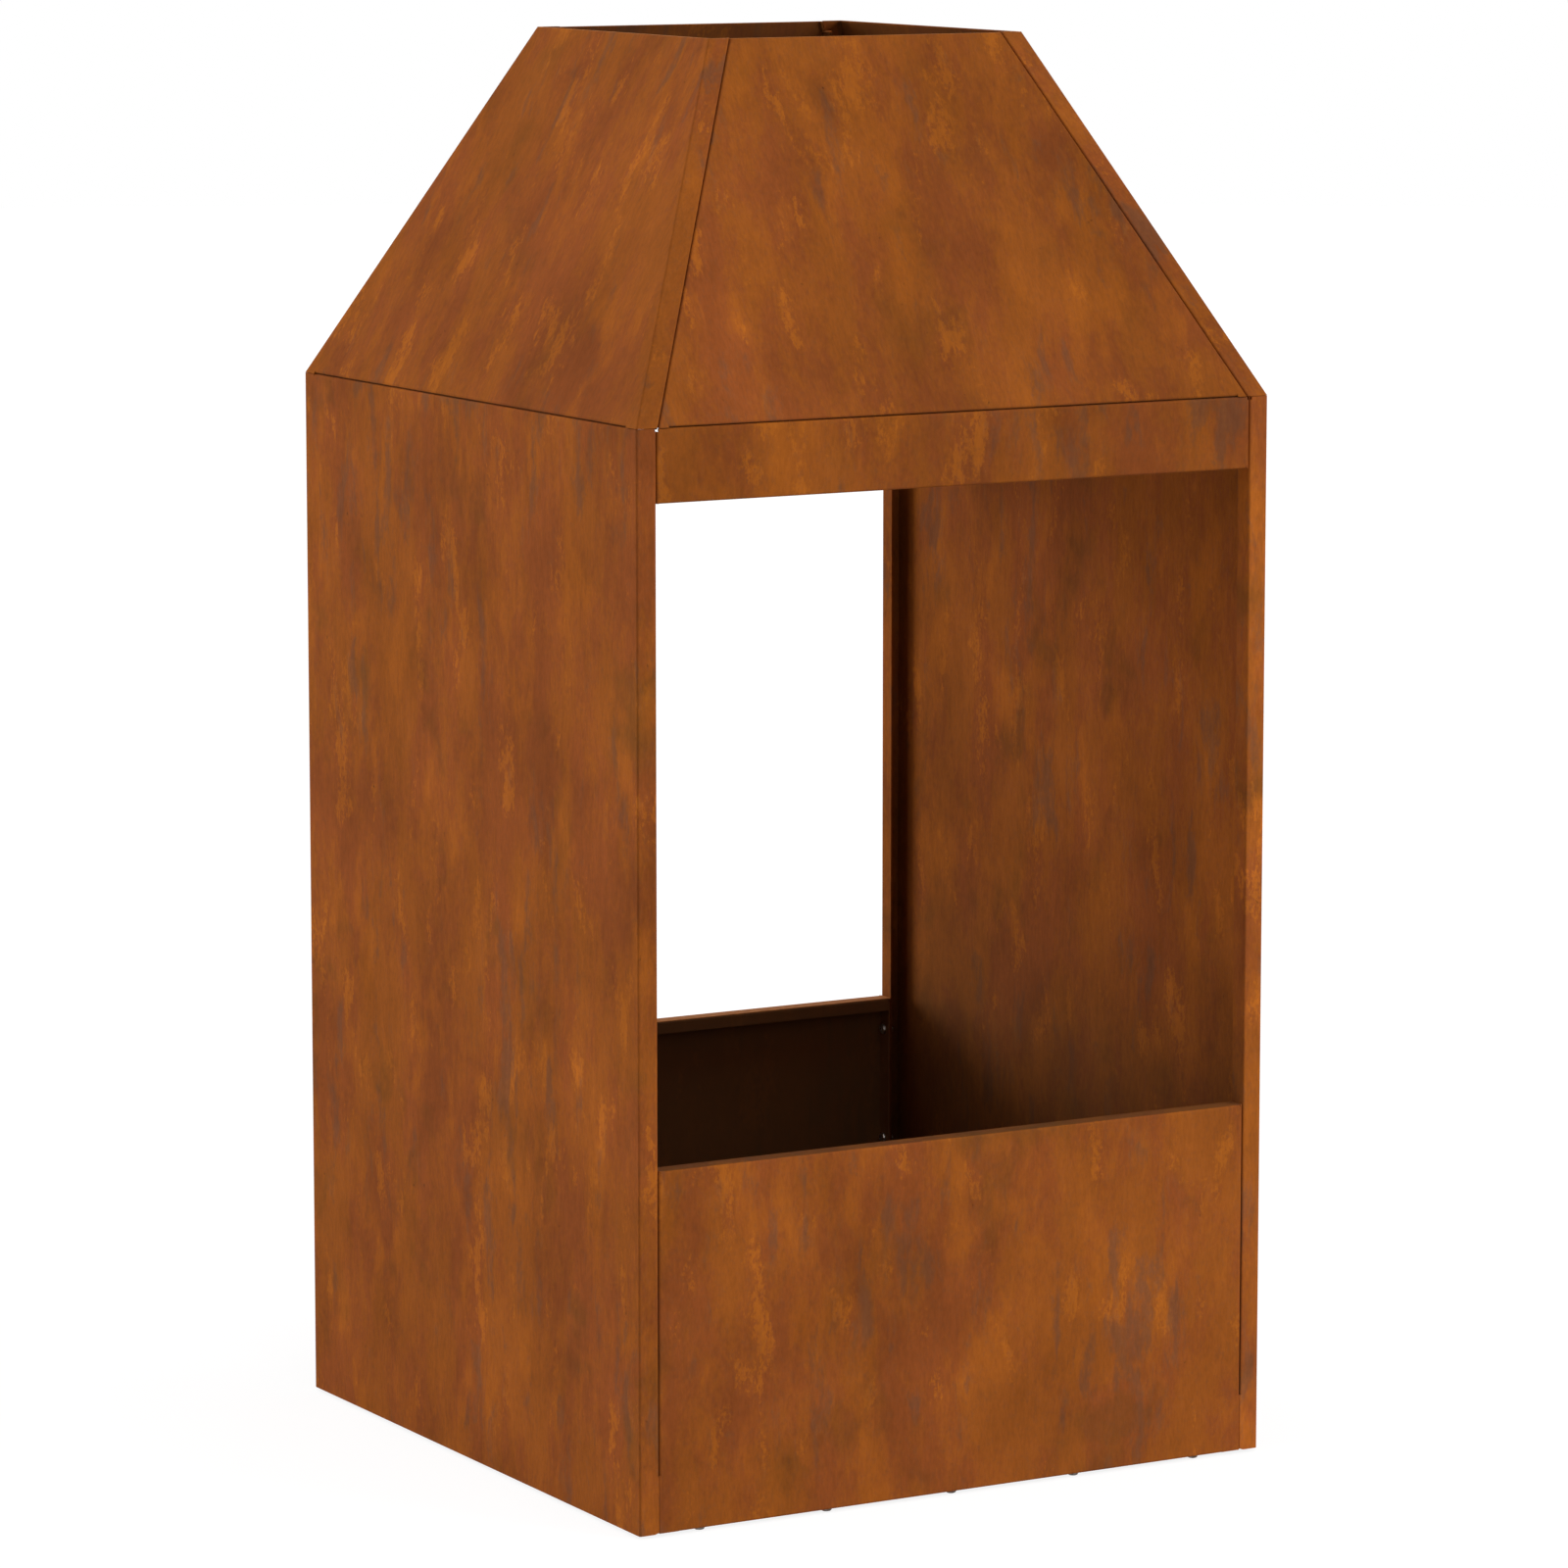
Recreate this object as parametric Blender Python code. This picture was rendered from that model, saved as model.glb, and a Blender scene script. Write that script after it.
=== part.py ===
"""Garden fireplace of folded weathering steel, 500 x 500 x 1000 mm, open at the front and the back.

Two side panels with folded corner posts carry a lower panel and a lintel at the front and at the back.
A tray with a raised floor closes the bottom and holds the fire, and a four-sided hood draws the smoke
up to a square mouth. All of it is 1.5 mm sheet, folded, and held together by M4 button head screws that
turn in nuts pressed into the folds.

Frame: metres, +Z up, the opening looks along -Y, origin on the ground under the middle of the fireplace.
"""

import math

import bmesh
import bpy
from mathutils import Matrix, Vector

# Overall sizes
BODY_WIDTH = 0.500
BODY_DEPTH = 0.500
BODY_HEIGHT = 0.750
HOOD_HEIGHT = 0.250
MOUTH_WIDTH = 0.250
MOUTH_DEPTH = 0.250
LOWER_PANEL_HEIGHT = 0.250
LINTEL_HEIGHT = 0.050
TRAY_HEIGHT = 0.040

# Sheet and folds. A slot parts the end of a bend from the flat beside it, and a relief holds a return
# clear of what crosses its end. A post's notch takes away the top of its inner bend. A hood ear is the
# plain strip at each end of a base flange, and a hood strip is what is left of a return at the rim. The
# hood's panels are drawn too long by the overrun and cut level, front and back a step below the sides.
SHEET = 0.0015
BEND_RADIUS = 0.0017
BEND_STEP = math.radians(30)
SMOOTH_ANGLE = math.radians(40)
FLANGE = 0.015
RETURN = 0.014
LIP = 0.0095
CORNER_CUT_WIDTH = 0.0032
CORNER_CUT_HEIGHT = 0.0010
RELIEF_SLOT = 0.0001
CORNER_SLOT = 0.0003
CORNER_RELIEF = 0.0005
POST_NOTCH = 0.0021
HOOD_EAR = 0.0095
HOOD_STRIP = 0.001
EDGE_OVERRUN = 0.0015
HOOD_STEP = 0.0003

# Gaps: open seams between panels, and faces that lie against each other
SEAM = 0.0003
CONTACT = 0.0003

# Screws and their pressed nuts
SCREW_RADIUS = 0.0020
SCREW_LENGTH = 0.008
HEAD_RADIUS = 0.0038
HEAD_HEIGHT = 0.0022
SOCKET_WIDTH = 0.0025
SOCKET_DEPTH = 0.0013
NUT_WIDTH = 0.007
NUT_HEIGHT = 0.0025
BASE_SCREW_MARGIN = 0.0347
SIDE_SCREW_MARGIN = 0.025
TRAY_SCREW_MARGIN = 0.015
DRILL_OVERRUN = 0.001

# Head outline, as shares of the head's radius and height, from the rim to the flat round the socket
HEAD_OUTLINE_SHARES = ((1.0, 0.0), (0.80, 0.55), (0.52, 1.0))
# Places of the screws along a hood corner and along a shoulder, as shares of the length there
HOOD_CORNER_SCREW_SHARES = (0.24, 0.76)
SHOULDER_SCREW_SHARES = (-0.26, 0.26)

BASE_SCREWS = 5
LOWER_PANEL_SCREWS = 3
DRILL_SIDES = 8
HEX_SIDES = 6
SCREW_SIDES = 2 * HEX_SIDES

MERGE_DISTANCE = 0.000001

# Levels: the fireplace stands on the heads of its base screws
BASE = HEAD_HEIGHT + CONTACT
TRAY_TOP = BASE + TRAY_HEIGHT
SHOULDER = BASE + BODY_HEIGHT
HOOD_BASE = SHOULDER + CONTACT
RIM = SHOULDER + HOOD_HEIGHT

# Turns about Z that bring a panel drawn at the front to its own side
FRONT = 0.0
RIGHT = math.radians(90)
BACK = math.radians(180)
LEFT = math.radians(270)

RIGHT_ANGLE = math.radians(90)
X_AXIS = Vector((1.0, 0.0, 0.0))
Y_AXIS = Vector((0.0, 1.0, 0.0))
Z_AXIS = Vector((0.0, 0.0, 1.0))


# Cut planes and points on them

def level(height):
    """Level plane at a height."""
    return Vector((0.0, 0.0, height)), Z_AXIS


def across(place):
    """Upright plane square to X."""
    return Vector((place, 0.0, 0.0)), X_AXIS


def along_depth(place):
    """Upright plane square to Y."""
    return Vector((0.0, place, 0.0)), Y_AXIS


def cut(point, direction, plane):
    """Point where the line through a point meets a plane."""
    origin, normal = plane
    return point + direction * ((origin - point).dot(normal) / direction.dot(normal))


# Folded sheet

class Fold:
    """One fold, set out on the line where the outer faces of its two flats would meet."""

    def __init__(self, corner, along, outward, inward, angle):
        self.corner = corner
        self.along = along
        self.outward = outward
        self.inward = inward
        self.angle = angle
        self.setback = BEND_RADIUS * math.tan(angle / 2)
        self.after = outward * math.cos(angle) + inward * math.sin(angle)
        self.inward_after = inward * math.cos(angle) - outward * math.sin(angle)

    def before(self, distance, plane):
        """Point of the first flat at a distance from the line, on a cut plane."""
        return cut(self.corner - self.outward * distance, self.along, plane)

    def beyond(self, distance, plane):
        """Point of the second flat at a distance from the line, on a cut plane."""
        return cut(self.corner + self.after * distance, self.along, plane)

    def round(self):
        """Points across the bend, from the first flat to the second."""
        steps = math.ceil(self.angle / BEND_STEP)
        points = []
        for i in range(steps + 1):
            turned = self.angle * i / steps
            out = BEND_RADIUS * math.sin(turned) - self.setback
            deep = BEND_RADIUS * (1 - math.cos(turned))
            points.append(self.corner + self.outward * out + self.inward * deep)
        return points

    def next(self, width, angle):
        """The fold at the far side of the second flat."""
        return Fold(self.corner + self.after * width, self.along, self.after, self.inward_after, angle)


class Sheet:
    """The outer face of one folded panel, drawn flat by flat and bend by bend."""

    def __init__(self):
        self.faces = bmesh.new()

    def flat(self, points):
        self.faces.faces.new([self.faces.verts.new(point) for point in points])

    def bend(self, fold, low, high):
        rows = fold.round()
        for first, second in zip(rows, rows[1:]):
            self.flat([
                cut(first, fold.along, low),
                cut(second, fold.along, low),
                cut(second, fold.along, high),
                cut(first, fold.along, high),
            ])

    def flange(self, fold, width, low, high):
        """A bend with a plain flat beyond it."""
        self.bend(fold, low, high)
        self.flat([
            fold.beyond(fold.setback, low),
            fold.beyond(width, low),
            fold.beyond(width, high),
            fold.beyond(fold.setback, high),
        ])

    def finish(self, name, turn, outward, material):
        """Join the flats, face them outwards and give the sheet its thickness."""
        bmesh.ops.remove_doubles(self.faces, verts=self.faces.verts, dist=MERGE_DISTANCE)
        bmesh.ops.recalc_face_normals(self.faces, faces=self.faces.faces)
        self.faces.normal_update()
        largest = max(self.faces.faces, key=lambda face: face.calc_area())
        if largest.normal.dot(outward) < 0:
            bmesh.ops.reverse_faces(self.faces, faces=self.faces.faces)
        mesh = bpy.data.meshes.new(name)
        self.faces.to_mesh(mesh)
        self.faces.free()
        panel = bpy.data.objects.new(name, mesh)
        panel.rotation_euler = (0.0, 0.0, turn)
        bpy.context.collection.objects.link(panel)
        mesh.materials.append(material)
        thickness = panel.modifiers.new("sheet", "SOLIDIFY")
        thickness.thickness = SHEET
        thickness.offset = -1.0
        thickness.use_even_offset = True
        thickness.use_quality_normals = True
        return panel


# Materials

def steel(name, colour, roughness, metallic):
    """One Principled material."""
    material = bpy.data.materials.new(name)
    material.use_nodes = True
    shader = material.node_tree.nodes["Principled BSDF"]
    shader.inputs["Base Color"].default_value = (*colour, 1.0)
    shader.inputs["Roughness"].default_value = roughness
    shader.inputs["Metallic"].default_value = metallic
    return material


# Side panel: one wall with both of its corner posts, full body height

def side_panel(name, turn, material):
    """Wall with a post flange and a return at each end, a top flange for the hood, a plain bottom edge."""
    wall = -BODY_WIDTH / 2
    half = BODY_DEPTH / 2
    low, high = level(BASE), level(SHOULDER)
    return_low = level(TRAY_TOP + CORNER_RELIEF)
    notch = level(SHOULDER - POST_NOTCH)
    tab = half - FLANGE - SEAM
    sheet = Sheet()
    folds = {}

    for edge, sign in (("left", -1.0), ("right", 1.0)):
        post = Fold(Vector((sign * half, wall, 0.0)), Z_AXIS, X_AXIS * sign, Y_AXIS, RIGHT_ANGLE)
        inner = post.next(FLANGE, RIGHT_ANGLE)
        foot = level(TRAY_TOP + CORNER_RELIEF - RELIEF_SLOT)
        sheet.bend(post, low, high)
        sheet.flat([
            post.beyond(post.setback, low),
            post.beyond(FLANGE - CORNER_CUT_WIDTH, low),
            post.beyond(FLANGE, level(BASE + CORNER_CUT_HEIGHT)),
            post.beyond(FLANGE, foot),
            post.beyond(FLANGE - inner.setback, foot),
            post.beyond(FLANGE - inner.setback, return_low),
            post.beyond(FLANGE - inner.setback, notch),
            post.beyond(FLANGE - inner.setback, high),
            post.beyond(post.setback, high),
        ])
        sheet.bend(inner, return_low, notch)
        sheet.flat([
            inner.beyond(inner.setback, return_low),
            inner.beyond(RETURN, return_low),
            inner.beyond(RETURN, high),
            inner.beyond(inner.setback, high),
            inner.beyond(inner.setback, notch),
        ])
        folds[edge] = inner

    top = Fold(Vector((0.0, wall, SHOULDER)), X_AXIS, Z_AXIS, Y_AXIS, RIGHT_ANGLE)
    sheet.flange(top, FLANGE, across(-tab), across(tab))
    folds["top"] = top

    side = half - BEND_RADIUS
    slot = tab + RELIEF_SLOT
    sheet.flat([
        Vector((-side, wall, BASE)),
        Vector((side, wall, BASE)),
        top.before(0.0, across(side)),
        top.before(0.0, across(slot)),
        top.before(top.setback, across(slot)),
        top.before(top.setback, across(tab)),
        top.before(top.setback, across(-tab)),
        top.before(top.setback, across(-slot)),
        top.before(0.0, across(-slot)),
        top.before(0.0, across(-side)),
    ])
    return sheet.finish(name, turn, -Y_AXIS, material), folds


# Lower panel and lintel: they hang between the posts, screwed through their side flanges

def infill_width():
    """Width of what stands between the two posts."""
    return BODY_WIDTH - 2 * (FLANGE + SEAM)


def mitred_flange(sheet, fold, half):
    """A flange whose ends are cut at 45 degrees, from the ends of its bend to its free edge."""
    inset = half - BEND_RADIUS
    end = half - FLANGE
    sheet.bend(fold, across(-inset), across(inset))
    sheet.flat([
        fold.beyond(fold.setback, across(-inset)),
        fold.beyond(fold.setback, across(inset)),
        fold.beyond(FLANGE, across(end)),
        fold.beyond(FLANGE, across(-end)),
    ])


def full_flange(sheet, fold, half, lip):
    """A flange that widens behind the side bends to its panel's full width, and a turned lip if asked for."""
    inset = half - BEND_RADIUS
    end = inset - CORNER_SLOT
    wide = fold.setback + CORNER_SLOT
    turned = fold.next(FLANGE, RIGHT_ANGLE)
    sheet.bend(fold, across(-end), across(end))
    outline = []
    for sign in (1.0, -1.0):
        points = [
            fold.beyond(fold.setback, across(end * sign)),
            fold.beyond(wide, across(end * sign)),
            fold.beyond(wide, across(half * sign)),
            fold.beyond(FLANGE, across(half * sign)),
        ]
        if lip:
            points += [
                fold.beyond(FLANGE, across(inset * sign)),
                fold.beyond(FLANGE - turned.setback, across(inset * sign)),
                fold.beyond(FLANGE - turned.setback, across(end * sign)),
            ]
        outline += points if sign > 0 else reversed(points)
    sheet.flat(outline)
    if lip:
        sheet.flange(turned, LIP, across(-end), across(end))


def lower_panel(name, turn, material):
    """Panel below the opening: lipped top flange, side flanges, and a bottom flange under the tray."""
    wall = -BODY_DEPTH / 2
    half = infill_width() / 2
    end = half - BEND_RADIUS - CORNER_SLOT
    top_level = BASE + LOWER_PANEL_HEIGHT
    tab = half - FLANGE
    corner = level(top_level - BEND_RADIUS)
    side_low = level(TRAY_TOP + CORNER_RELIEF)
    side_high = level(top_level - BEND_RADIUS - CORNER_RELIEF)
    foot = level(TRAY_TOP + CORNER_RELIEF - RELIEF_SLOT)
    top = Fold(Vector((0.0, wall, top_level)), X_AXIS, Z_AXIS, Y_AXIS, RIGHT_ANGLE)
    bottom = Fold(Vector((0.0, wall, BASE)), X_AXIS, -Z_AXIS, Y_AXIS, RIGHT_ANGLE)
    sheet = Sheet()
    folds = {"bottom": bottom}

    full_flange(sheet, top, half, lip=True)
    sheet.flange(bottom, FLANGE, across(-tab), across(tab))
    outline = []
    for sign in (-1.0, 1.0):
        points = [
            bottom.before(SEAM, across(half * sign)),
            bottom.before(SEAM, across((tab + RELIEF_SLOT) * sign)),
            bottom.before(bottom.setback, across((tab + RELIEF_SLOT) * sign)),
            bottom.before(bottom.setback, across(tab * sign)),
        ]
        outline += points if sign < 0 else reversed(points)
    for edge, sign in (("right", 1.0), ("left", -1.0)):
        side = Fold(Vector((sign * half, wall, 0.0)), Z_AXIS, X_AXIS * sign, Y_AXIS, RIGHT_ANGLE)
        points = [
            side.before(0.0, foot),
            side.before(side.setback, foot),
            side.before(side.setback, side_low),
            side.before(side.setback, side_high),
            side.before(side.setback, corner),
            top.before(top.setback, across(end * sign)),
        ]
        outline += points if sign > 0 else reversed(points)
        sheet.flange(side, RETURN, side_low, side_high)
        sheet.bend(side, side_high, corner)
        sheet.bend(side, corner, level(top_level))
        folds[edge] = side
    sheet.flat(outline)
    return sheet.finish(name, turn, -Y_AXIS, material), folds


def lintel(name, turn, material):
    """Beam above the opening: flanges on all four edges."""
    wall = -BODY_DEPTH / 2
    half = infill_width() / 2
    inset = half - BEND_RADIUS
    end = inset - CORNER_SLOT
    low = SHOULDER - LINTEL_HEIGHT
    corner = level(low + BEND_RADIUS)
    top = Fold(Vector((0.0, wall, SHOULDER)), X_AXIS, Z_AXIS, Y_AXIS, RIGHT_ANGLE)
    bottom = Fold(Vector((0.0, wall, low)), X_AXIS, -Z_AXIS, Y_AXIS, RIGHT_ANGLE)
    side_low = level(low + BEND_RADIUS + CORNER_RELIEF)
    side_high = level(SHOULDER - BEND_RADIUS - CORNER_RELIEF)
    sheet = Sheet()
    folds = {"top": top}

    mitred_flange(sheet, top, half)
    full_flange(sheet, bottom, half, lip=False)
    outline = []
    for edge, sign in (("right", 1.0), ("left", -1.0)):
        side = Fold(Vector((sign * half, wall, 0.0)), Z_AXIS, X_AXIS * sign, Y_AXIS, RIGHT_ANGLE)
        points = [
            bottom.before(bottom.setback, across(end * sign)),
            side.before(side.setback, corner),
            side.before(side.setback, side_low),
            side.before(side.setback, side_high),
            top.before(top.setback, across(inset * sign)),
        ]
        outline += points if sign > 0 else reversed(points)
        sheet.bend(side, level(low), corner)
        sheet.bend(side, corner, side_low)
        sheet.flange(side, RETURN, side_low, side_high)
        folds[edge] = side
    sheet.flat(outline)
    return sheet.finish(name, turn, -Y_AXIS, material), folds


# Hood: four leaning panels, the side pair carrying the corner posts as the body's side panels do

def mirrored(vector, sign):
    """A vector, or its mirror image in X where the sign is negative."""
    return Vector((vector.x * sign, vector.y, vector.z))


class Slope:
    """The leaning plane of one hood panel, drawn at the front: its corners, directions and folds."""

    def __init__(self, half_base, half_mouth, base_distance, mouth_distance):
        self.foot = Vector((half_base, -base_distance, HOOD_BASE))
        self.head = Vector((half_mouth, -mouth_distance, RIM))
        rise = Vector((0.0, base_distance - mouth_distance, RIM - HOOD_BASE)).normalized()
        self.rise = rise
        self.inward = rise.cross(X_AXIS)
        self.corner = (self.head - self.foot).normalized()
        self.overrun = EDGE_OVERRUN * rise.z

    def edge(self, sign, set_in):
        """Point, direction and outward direction of the slanted edge, set in from the corner."""
        along = mirrored(self.corner, sign)
        outward = (X_AXIS * sign - along * along.dot(X_AXIS * sign)).normalized()
        outward = (outward - self.inward * outward.dot(self.inward)).normalized()
        return mirrored(self.foot, sign) - outward * set_in, along, outward

    def corner_fold(self, sign):
        """The fold along the corner, turning into the plane of the neighbouring panel."""
        point, along, outward = self.edge(sign, 0.0)
        neighbour = (Y_AXIS - along * along.dot(Y_AXIS)).normalized()
        angle = math.atan2(neighbour.dot(self.inward), neighbour.dot(outward))
        return Fold(point, along, outward, self.inward, angle)

    def side_fold(self, sign, set_in):
        """A square fold along the slanted edge, set in from the corner."""
        point, along, outward = self.edge(sign, set_in)
        return Fold(point, along, outward, self.inward, RIGHT_ANGLE)

    def base_fold(self):
        """The fold along the bottom edge, turning level and inwards."""
        down = -self.rise
        angle = math.atan2(Y_AXIS.dot(self.inward), Y_AXIS.dot(down))
        return Fold(Vector((0.0, self.foot.y, HOOD_BASE)), X_AXIS, down, self.inward, angle)


def hood_outline(base, tab, foot_points, head_points):
    """Outline of a hood panel: slanted edges, plain ears beside the bottom flange, plain top."""
    left_foot, right_foot = foot_points
    left_head, right_head = head_points
    slot = tab + RELIEF_SLOT
    return [
        left_foot,
        base.before(-EDGE_OVERRUN, across(-slot)),
        base.before(base.setback, across(-slot)),
        base.before(base.setback, across(-tab)),
        base.before(base.setback, across(tab)),
        base.before(base.setback, across(slot)),
        base.before(-EDGE_OVERRUN, across(slot)),
        right_foot,
        right_head,
        left_head,
    ]


def hood_return(sheet, fold, low, high):
    """A return as long as the corner, cut back at the rim to a narrow strip beside its bend."""
    stop = level(RIM - FLANGE / 2)
    strip = fold.setback + HOOD_STRIP
    sheet.bend(fold, low, high)
    sheet.flat([
        fold.beyond(fold.setback, low),
        fold.beyond(RETURN, low),
        fold.beyond(RETURN, stop),
        fold.beyond(strip, stop),
        fold.beyond(strip, high),
        fold.beyond(fold.setback, high),
    ])


def trim_level(panel, turn, tab, rim):
    """Cut the ears and the top edge level, so that the ears stand on the shoulder with their whole edge."""
    near = tab + RELIEF_SLOT / 2
    far = BODY_WIDTH / 2 + SHEET
    front = -BODY_DEPTH / 2 - SHEET
    back = -BODY_DEPTH / 2 + FLANGE + SHEET
    height = 2 * EDGE_OVERRUN
    below = HOOD_BASE - height / 2
    above = rim + height / 2
    boxes = (
        (Vector(((near + far) / 2, (front + back) / 2, below)), Vector((far - near, back - front, height))),
        (Vector((-(near + far) / 2, (front + back) / 2, below)), Vector((far - near, back - front, height))),
        (Vector((0.0, front / 2, above)), Vector((2 * far, -front, height))),
    )
    cutter = bmesh.new()
    for middle, size in boxes:
        placing = Matrix.Rotation(turn, 4, "Z") @ Matrix.LocRotScale(middle, None, size)
        bmesh.ops.create_cube(cutter, size=1.0, matrix=placing)
    trim = panel.modifiers.new("level edges", "BOOLEAN")
    trim.operation = "DIFFERENCE"
    trim.object = tool_object("level_edges_of_" + panel.name, cutter)


def hood_side_panel(name, turn, material):
    """Hood panel over a side wall, with a post flange and a return along both corners."""
    slope = Slope(BODY_DEPTH / 2, MOUTH_DEPTH / 2, BODY_WIDTH / 2, MOUTH_WIDTH / 2)
    base = slope.base_fold()
    tab = BODY_DEPTH / 2 - FLANGE - SEAM
    low, high = level(HOOD_BASE - slope.overrun), level(RIM + slope.overrun)
    sheet = Sheet()
    folds = {}
    foot_points = []
    head_points = []

    for edge, sign in (("left", -1.0), ("right", 1.0)):
        post = slope.corner_fold(sign)
        inner = post.next(FLANGE, RIGHT_ANGLE)
        sheet.bend(post, low, high)
        sheet.flat([
            post.beyond(post.setback, low),
            post.beyond(FLANGE - inner.setback, low),
            post.beyond(FLANGE - inner.setback, high),
            post.beyond(post.setback, high),
        ])
        hood_return(sheet, inner, low, high)
        folds[edge] = inner
        foot_points.append(post.before(post.setback, low))
        head_points.append(post.before(post.setback, high))

    sheet.flange(base, FLANGE, across(-tab), across(tab))
    sheet.flat(hood_outline(base, tab, foot_points, head_points))
    panel = sheet.finish(name, turn, -Y_AXIS, material)
    trim_level(panel, turn, tab, RIM)
    return panel, folds


def hood_end_panel(name, turn, material):
    """Hood panel over the front or the back, set between the corner posts."""
    slope = Slope(BODY_WIDTH / 2, MOUTH_WIDTH / 2, BODY_DEPTH / 2, MOUTH_DEPTH / 2)
    base = slope.base_fold()
    tab = infill_width() / 2 - HOOD_EAR
    rim = RIM - HOOD_STEP
    low, high = level(HOOD_BASE - slope.overrun), level(rim + slope.overrun)
    sheet = Sheet()
    folds = {}
    foot_points = []
    head_points = []

    for edge, sign in (("left", -1.0), ("right", 1.0)):
        side = slope.side_fold(sign, FLANGE + SEAM)
        hood_return(sheet, side, low, high)
        folds[edge] = side
        foot_points.append(side.before(side.setback, low))
        head_points.append(side.before(side.setback, high))

    sheet.flange(base, FLANGE, across(-tab), across(tab))
    sheet.flat(hood_outline(base, tab, foot_points, head_points))
    panel = sheet.finish(name, turn, -Y_AXIS, material)
    trim_level(panel, turn, tab, rim)
    return panel, folds


# Tray: raised floor of the hearth, with flanges at the front and the back that lie on the panels' own

def tray(name, material):
    """Square tray turned over: flat top for the fire, four walls down, two of them with a flange."""
    wall_gap = SHEET + CONTACT
    half_x = BODY_WIDTH / 2 - wall_gap
    half_y = BODY_DEPTH / 2 - wall_gap
    depth = TRAY_HEIGHT - wall_gap
    width = FLANGE - wall_gap
    sheet = Sheet()

    sides = (
        (Vector((0.0, -half_y, TRAY_TOP)), X_AXIS, -Y_AXIS, across, half_x, True),
        (Vector((0.0, half_y, TRAY_TOP)), X_AXIS, Y_AXIS, across, half_x, True),
        (Vector((-half_x, 0.0, TRAY_TOP)), Y_AXIS, -X_AXIS, along_depth, half_y, False),
        (Vector((half_x, 0.0, TRAY_TOP)), Y_AXIS, X_AXIS, along_depth, half_y, False),
    )
    for corner, along, outward, plane, half, flanged in sides:
        end = half - BEND_RADIUS
        tab = half - width - CORNER_RELIEF
        slot = tab + RELIEF_SLOT
        upper = Fold(corner, along, outward, -Z_AXIS, RIGHT_ANGLE)
        lower = upper.next(depth, RIGHT_ANGLE)
        sheet.bend(upper, plane(-end), plane(end))
        if not flanged:
            sheet.flat([
                upper.beyond(upper.setback, plane(-end)),
                upper.beyond(upper.setback, plane(end)),
                upper.beyond(depth, plane(end)),
                upper.beyond(depth, plane(-end)),
            ])
            continue
        sheet.flat([
            upper.beyond(upper.setback, plane(-end)),
            upper.beyond(upper.setback, plane(end)),
            upper.beyond(depth, plane(end)),
            upper.beyond(depth, plane(slot)),
            upper.beyond(depth - lower.setback, plane(slot)),
            upper.beyond(depth - lower.setback, plane(tab)),
            upper.beyond(depth - lower.setback, plane(-tab)),
            upper.beyond(depth - lower.setback, plane(-slot)),
            upper.beyond(depth, plane(-slot)),
            upper.beyond(depth, plane(-end)),
        ])
        sheet.flange(lower, width, plane(-tab), plane(tab))

    end_x = half_x - BEND_RADIUS
    end_y = half_y - BEND_RADIUS
    corners = ((-end_x, -end_y), (end_x, -end_y), (end_x, end_y), (-end_x, end_y))
    sheet.flat([Vector((x, y, TRAY_TOP)) for x, y in corners])
    return sheet.finish(name, 0.0, Z_AXIS, material), {}


# Screws, their drilled holes and their pressed nuts

def ring(mesh, radius, height, sides):
    """Corners of one round of a turned shape."""
    turns = [2 * math.pi * i / sides for i in range(sides)]
    return [mesh.verts.new((radius * math.sin(t), radius * math.cos(t), height)) for t in turns]


def band(mesh, first, second):
    """Faces between two rounds that have as many corners."""
    count = len(first)
    for i in range(count):
        j = (i + 1) % count
        mesh.faces.new((first[i], first[j], second[j], second[i]))


def screw_mesh():
    """M4 button head screw with a hexagon socket, its head below its seat and its tip up along +Z."""
    shape = bmesh.new()
    tip = ring(shape, SCREW_RADIUS, SCREW_LENGTH, SCREW_SIDES)
    neck = ring(shape, SCREW_RADIUS, 0.0, SCREW_SIDES)
    rounds = [tip, neck]
    for across_share, down_share in HEAD_OUTLINE_SHARES:
        rounds.append(ring(shape, HEAD_RADIUS * across_share, -HEAD_HEIGHT * down_share, SCREW_SIDES))
    for first, second in zip(rounds, rounds[1:]):
        band(shape, first, second)

    crown = rounds[-1]
    socket_radius = SOCKET_WIDTH / math.sqrt(3)
    mouth = ring(shape, socket_radius, -HEAD_HEIGHT, HEX_SIDES)
    floor = ring(shape, socket_radius, -HEAD_HEIGHT + SOCKET_DEPTH, HEX_SIDES)
    for i in range(HEX_SIDES):
        j = (i + 1) % HEX_SIDES
        outer = [crown[2 * i], crown[2 * i + 1], crown[(2 * i + 2) % SCREW_SIDES]]
        shape.faces.new(outer + [mouth[j], mouth[i]])
    band(shape, mouth, floor)
    shape.faces.new(tip)
    shape.faces.new(floor)
    bmesh.ops.recalc_face_normals(shape, faces=shape.faces)

    mesh = bpy.data.meshes.new("button_head_screw")
    shape.to_mesh(mesh)
    shape.free()
    mesh.shade_smooth()
    mesh.set_sharp_from_angle(angle=SMOOTH_ANGLE)
    return mesh


def prism(shape, placing, radius, sides, low, high):
    """Straight prism along the screw's own axis."""
    bmesh.ops.create_cone(
        shape,
        cap_ends=True,
        segments=sides,
        radius1=radius,
        radius2=radius,
        depth=high - low,
        matrix=placing @ Matrix.Translation((0.0, 0.0, (low + high) / 2)),
    )


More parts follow.
